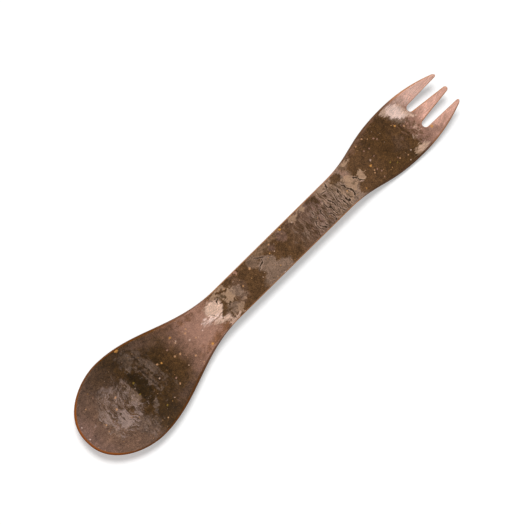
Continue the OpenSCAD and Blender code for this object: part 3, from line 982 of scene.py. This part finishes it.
def specks(graph, base, place):
    """Small pale dots, in some of the cells of loose grids."""
    for scale, empty in SPECK_GRIDS:
        cells = graph.add("TexVoronoi", {"Vector": place, "Scale": scale, "Randomness": 1.0})
        pick = graph.add("SeparateColor", {0: cells.outputs["Color"]}).outputs
        size = graph.ramp(pick[0], empty, 1.0, 0.0, SPECK_SIZE, smooth=False)
        near = graph.ramp(cells.outputs["Distance"], size, graph.times(size, 0.6))
        tone = graph.mix(pick[1], TONES["amber"], TONES["cream"])
        base = graph.mix(graph.times(near, pick[2], SPECK_STRENGTH), base, tone)
    return base


def resin_edge(graph, base, side, place):
    """Bare resin round the edges: wide at the tip, along the handle and in the slots."""
    along, across, _ = graph.parts(place)
    inner = graph.ramp(graph.math("ABSOLUTE", across), *SLOT_ZONE)
    tip = graph.ramp(along, *TIP_ZONE)
    straight = graph.times(graph.ramp(along, *HANDLE_FROM), graph.ramp(along, *HANDLE_TO))
    tines = graph.ramp(along, *TINE_ZONE)
    wide = graph.math("MAXIMUM", graph.math("MAXIMUM", tip, straight),
                      graph.times(tines, inner))
    start = graph.math("SUBTRACT", RESIN_START, graph.times(wide, RESIN_SOONER))
    bare = graph.ramp(side, start, graph.math("ADD", start, RESIN_SOFT))
    under = graph.ramp(side, *RESIN_END)
    bowl = graph.ramp(along, *BOWL_ZONE)
    edged = graph.math("MAXIMUM", graph.math("MAXIMUM", bowl, straight), tines)
    strong = graph.ramp(edged, 0.0, 1.0, 0.65, 0.85)
    faint = graph.times(straight, graph.ramp(side, *LOWER_HALF), 0.5)
    amount = graph.times(strong, graph.math("SUBTRACT", 1.0, faint))
    tone = graph.mix(tip, graph.mix(straight, TONES["seam"], TONES["rim"]), TONES["resin"])
    palm = graph.times(graph.ramp(along, *PALM_FROM), graph.ramp(along, *PALM_TO))
    tone = graph.mix(palm, tone, TONES["rust"])
    tone = graph.mix(tines, tone, TONES["copper"])
    return graph.mix(graph.times(bare, under, amount), base, tone)


def rough_level(graph, side, place):
    """Satin on the faces and duller round the edges."""
    satin = graph.ramp(graph.noise(place, 1.5, 4.0), 0.3, 0.7, 0.48, 0.64)
    edge = graph.times(graph.ramp(side, *DULL_START), graph.ramp(side, *DULL_END))
    return graph.math("ADD", satin, graph.times(edge, graph.math("SUBTRACT", 1.0, satin)))


def film_and_sheen_colour(graph, side, spot, flat):
    """The film's pattern from the lowest layer up, with painted sheen on the neck and tines and
    painted highlights along some edges, and bare resin along the edges.

    The shader is near the size that Cycles can hold, and the order in which its nodes are made
    counts: past that size the whole object renders black.
    """
    group = patch_group()
    loose = graph.shift(flat, 0.35, 5.0, 3.0)
    ragged = graph.tear(flat, 0.7, 5.0)
    feathers = graph.tear(graph.shift(flat, 0.3, 2.0), (0.5, 1.5), 4.5)

    base = ground_tone(graph, flat)
    base = lay_patches(graph, group, base, flat, BROAD_PATCHES, 2.0, graph.tear(flat, 0.4, 10.0))
    base = lay_patches(graph, group, base, loose, TORN_PATCHES, 0.4, ragged)
    base = lay_patches(graph, group, base, flat, CALM_PATCHES, 0.5, graph.tear(flat, 0.5, 3.0))
    base = lay_patches(graph, group, base, flat, [PALM_HEART], 0.35, graph.tear(flat, 0.4, 9.0))
    base = lay_patches(graph, group, base, flat, PALM_PATCHES, 2.0, graph.tear(flat, 0.5, 8.0))
    base = wrinkles(graph, group, base, flat)
    base = lay_patches(graph, group, base, flat, FEATHERED_PATCHES, 0.5, feathers)
    base = lay_patches(graph, group, base, loose, PLATES_AND_HIGHLIGHT, 0.2, graph.tear(flat, 0.9, 4.0))
    base = lay_patches(graph, group, base, flat, DARK_GAPS, 0.2, graph.tear(flat, 1.3, 2.5))
    base = mottle(graph, base, flat)
    base = crack_lines(graph, group, base, flat)
    base = specks(graph, base, graph.shift(flat, 1.5, 0.3))
    base = resin_edge(graph, base, side, spot)
    return flecks(graph, group, base, flat)


def bark_film():
    """The patterned film over the plastic."""
    material = bpy.data.materials.new("bark_film")
    material.use_nodes = True
    material.node_tree.nodes.clear()
    graph = Graph(material.node_tree)
    side, spot, flat = film_place(graph)
    shader = graph.add("BsdfPrincipled", {
        "Base Color": film_and_sheen_colour(graph, side, spot, flat),
        "Roughness": rough_level(graph, side, flat),
        "Specular IOR Level": 0.3})
    graph.add("OutputMaterial", {"Surface": shader.outputs[0]})
    return material


film = bark_film()
pieces = {
    "spoon_bowl": make_spoon(),
    "handle": make_handle(),
    "fork_palm": make_palm(),
    "left_tine": make_tine("left_tine_skin", 1),
    "middle_tine": make_tine("middle_tine_skin", 0),
    "right_tine": make_tine("right_tine_skin", -1),
}
for node, piece in pieces.items():
    piece.data.materials.append(film)
    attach(piece, "root")
    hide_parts(node)


# Floor, world, lamp and camera

photo_width = 176.3 * MM
photo_middle = Vector((-0.44 * MM, 1.50 * MM, 9.0 * MM))
photo_turn = math.radians(44.6)
camera_lens = 250
camera_sensor = 36
camera_near = 0.01
camera_far = 20

key_tilt = math.radians(20.5)
key_angle = math.radians(16)
key_share = 0.75
sky_share = 0.2
floor_white = 0.72
floor_lift = 0.38
floor_reach = 3.0
# How far up the sky that is seen starts to darken and is darkest, and its level there
sky_turn = (0.25, 0.8)
sky_dark = 0.08


def seen_rays(graph):
    """1 for rays from the camera, from gloss or through glass, and 0 for diffuse ones."""
    rays = graph.add("LightPath").outputs
    gloss = graph.math("MAXIMUM", rays["Is Glossy Ray"], rays["Is Transmission Ray"])
    return graph.math("MAXIMUM", rays["Is Camera Ray"], gloss)


def make_floor():
    mesh = bpy.data.meshes.new("floor")
    signs = ((-1, -1), (1, -1), (1, 1), (-1, 1))
    corners = [(x * floor_reach, y * floor_reach, 0) for x, y in signs]
    mesh.from_pydata(corners, [], [(0, 1, 2, 3)])
    floor = bpy.data.objects.new("floor", mesh)
    bpy.context.scene.collection.objects.link(floor)
    material = bpy.data.materials.new("pale_floor")
    material.use_nodes = True
    material.node_tree.nodes.clear()
    graph = Graph(material.node_tree)
    matt = graph.add("BsdfDiffuse", {"Color": (floor_white, floor_white, floor_white, 1)})
    lift = graph.add("Emission", {"Strength": graph.times(seen_rays(graph), floor_lift)})
    both = graph.add("AddShader", {0: matt.outputs[0], 1: lift.outputs[0]})
    graph.add("OutputMaterial", {"Surface": both.outputs[0]})
    floor.data.materials.append(material)


def make_world():
    """White towards the horizon where it is seen, darker overhead, and a plain level of light."""
    world = bpy.data.worlds.new("studio")
    bpy.context.scene.world = world
    world.use_nodes = True
    world.node_tree.nodes.clear()
    graph = Graph(world.node_tree)
    up = graph.add("SeparateXYZ", {0: graph.add("TexCoord").outputs["Generated"]}).outputs[2]
    seen = graph.ramp(up, *sky_turn, 1.0, sky_dark)
    level = graph.add("Mix", {0: seen_rays(graph), 2: sky_share, 3: seen}).outputs[0]
    sky = graph.add("Background", {"Color": (1, 1, 1, 1), "Strength": level})
    graph.add("OutputWorld", {"Surface": sky.outputs[0]})


def make_key():
    lamp = bpy.data.lights.new("key", "SUN")
    lamp.energy = key_share * math.pi / math.cos(key_tilt)
    lamp.angle = key_angle
    key = bpy.data.objects.new("key", lamp)
    bpy.context.scene.collection.objects.link(key)
    key.visible_glossy = False
    turn = math.pi / 2 - photo_turn
    towards = Vector((math.sin(key_tilt) * math.cos(turn), math.sin(key_tilt) * math.sin(turn),
                      math.cos(key_tilt)))
    key.rotation_mode = "QUATERNION"
    key.rotation_quaternion = towards.to_track_quat("Z", "Y")


def make_camera():
    data = bpy.data.cameras.new("camera")
    data.sensor_width = camera_sensor
    data.lens = camera_lens
    data.clip_start = camera_near
    data.clip_end = camera_far
    camera = bpy.data.objects.new("camera", data)
    bpy.context.scene.collection.objects.link(camera)
    bpy.context.scene.camera = camera
    away = photo_width * camera_lens / camera_sensor
    camera.location = photo_middle + Vector((0, 0, away))
    camera.rotation_euler = (0, 0, -photo_turn)


make_floor()
make_world()
make_key()
make_camera()
bpy.context.scene.view_settings.view_transform = "Standard"
